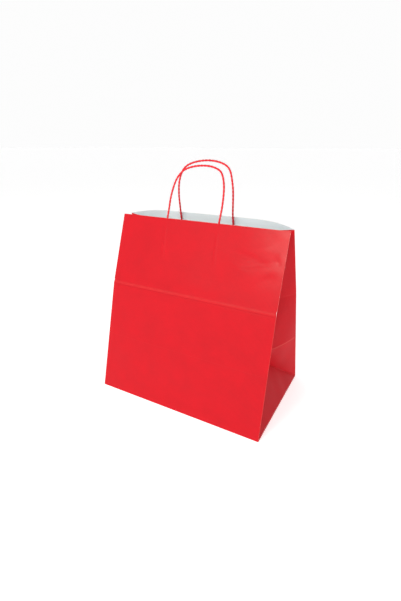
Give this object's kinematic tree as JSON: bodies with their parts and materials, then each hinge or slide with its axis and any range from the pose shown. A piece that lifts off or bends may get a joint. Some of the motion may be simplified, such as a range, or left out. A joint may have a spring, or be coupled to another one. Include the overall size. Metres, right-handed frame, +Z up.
{
  "type": "gift bag",
  "caption": "Red paper gift bag with folded side gussets, a flat block base, a crease across each panel and twisted cord handles.",
  "frame": {"origin": "centre of the base, on the surface that the bag stands on", "axes": "+Z up, +X along the mouth to the right as seen from the front, and the front panel faces -Y"},
  "size_m": [0.32, 0.21, 0.4218],
  "materials": {
    "red_paper": "ribbed kraft paper, dyed red outside and white inside",
    "strip_paper": "plain white kraft paper",
    "twisted_cord": "twisted red paper cord, matt"
  },
  "bodies": {
    "bag_body": {"base_flap_front": "red_paper", "base_flap_back": "red_paper", "base_corner_folds": "red_paper", "base_tab_left": "red_paper", "base_tab_right": "red_paper", "front_panel_lower": "red_paper", "back_panel_lower": "red_paper", "side_seam_lap_lower": "red_paper", "gusset_triangle_left": "red_paper", "gusset_triangle_right": "red_paper", "gusset_front_left_lower": "red_paper", "gusset_front_right_lower": "red_paper", "gusset_back_left_lower": "red_paper", "gusset_back_right_lower": "red_paper", "gusset_front_left_middle": "red_paper", "gusset_front_right_middle": "red_paper", "gusset_back_left_middle": "red_paper", "gusset_back_right_middle": "red_paper"},
    "front_upper": {"front_panel_upper": "red_paper", "front_backing_strip": "strip_paper", "front_cover_strip": "strip_paper", "front_cord_ends": "twisted_cord"},
    "back_upper": {"back_panel_upper": "red_paper", "side_seam_lap_upper": "red_paper", "back_backing_strip": "strip_paper", "back_cover_strip": "strip_paper", "back_cord_ends": "twisted_cord"},
    "gusset_front_left": {"gusset_front_left_upper": "red_paper"},
    "gusset_front_right": {"gusset_front_right_upper": "red_paper"},
    "gusset_back_left": {"gusset_back_left_upper": "red_paper"},
    "gusset_back_right": {"gusset_back_right_upper": "red_paper"},
    "front_handle": {"front_handle": "twisted_cord"},
    "back_handle": {"back_handle": "twisted_cord"}
  },
  "joints": [
    {"name": "mouth_front", "type": "hinge", "parent": "bag_body", "child": "front_upper", "pos_m": [0, -0.05565, 0.19794], "axis": [1, 0, 0], "range_deg": [0, 15]},
    {"name": "mouth_back", "type": "hinge", "parent": "bag_body", "child": "back_upper", "pos_m": [0, 0.05392, 0.1975], "axis": [-1, 0, 0], "range_deg": [0, 15]},
    {"name": "gusset_fold_front_left", "type": "hinge", "parent": "front_upper", "child": "gusset_front_left", "pos_m": [-0.16, -0.05565, 0.19794], "axis": [0, 0.3305, 0.9438], "range_deg": [0, 17]},
    {"name": "gusset_fold_front_right", "type": "hinge", "parent": "front_upper", "child": "gusset_front_right", "pos_m": [0.16, -0.05565, 0.19794], "axis": [0, -0.3305, -0.9438], "range_deg": [0, 17]},
    {"name": "gusset_fold_back_left", "type": "hinge", "parent": "back_upper", "child": "gusset_back_left", "pos_m": [-0.16, 0.05392, 0.1975], "axis": [0, 0.3502, -0.9367], "range_deg": [0, 17]},
    {"name": "gusset_fold_back_right", "type": "hinge", "parent": "back_upper", "child": "gusset_back_right", "pos_m": [0.16, 0.05392, 0.1975], "axis": [0, -0.3502, 0.9367], "range_deg": [0, 17]},
    {"name": "front_handle_swing", "type": "hinge", "parent": "front_upper", "child": "front_handle", "pos_m": [0, -0.00895, 0.32463], "axis": [1, 0, 0], "range_deg": [0, 110]},
    {"name": "back_handle_swing", "type": "hinge", "parent": "back_upper", "child": "back_handle", "pos_m": [0, 0.02901, 0.3302], "axis": [-1, 0, 0], "range_deg": [0, 110]}
  ],
  "couplings": [
    {"joint": "mouth_back", "follows": "mouth_front", "ratio": 1},
    {"joint": "gusset_fold_front_left", "follows": "mouth_front", "ratio": 1.12},
    {"joint": "gusset_fold_front_right", "follows": "mouth_front", "ratio": 1.12},
    {"joint": "gusset_fold_back_left", "follows": "mouth_front", "ratio": 1.12},
    {"joint": "gusset_fold_back_right", "follows": "mouth_front", "ratio": 1.12}
  ]
}
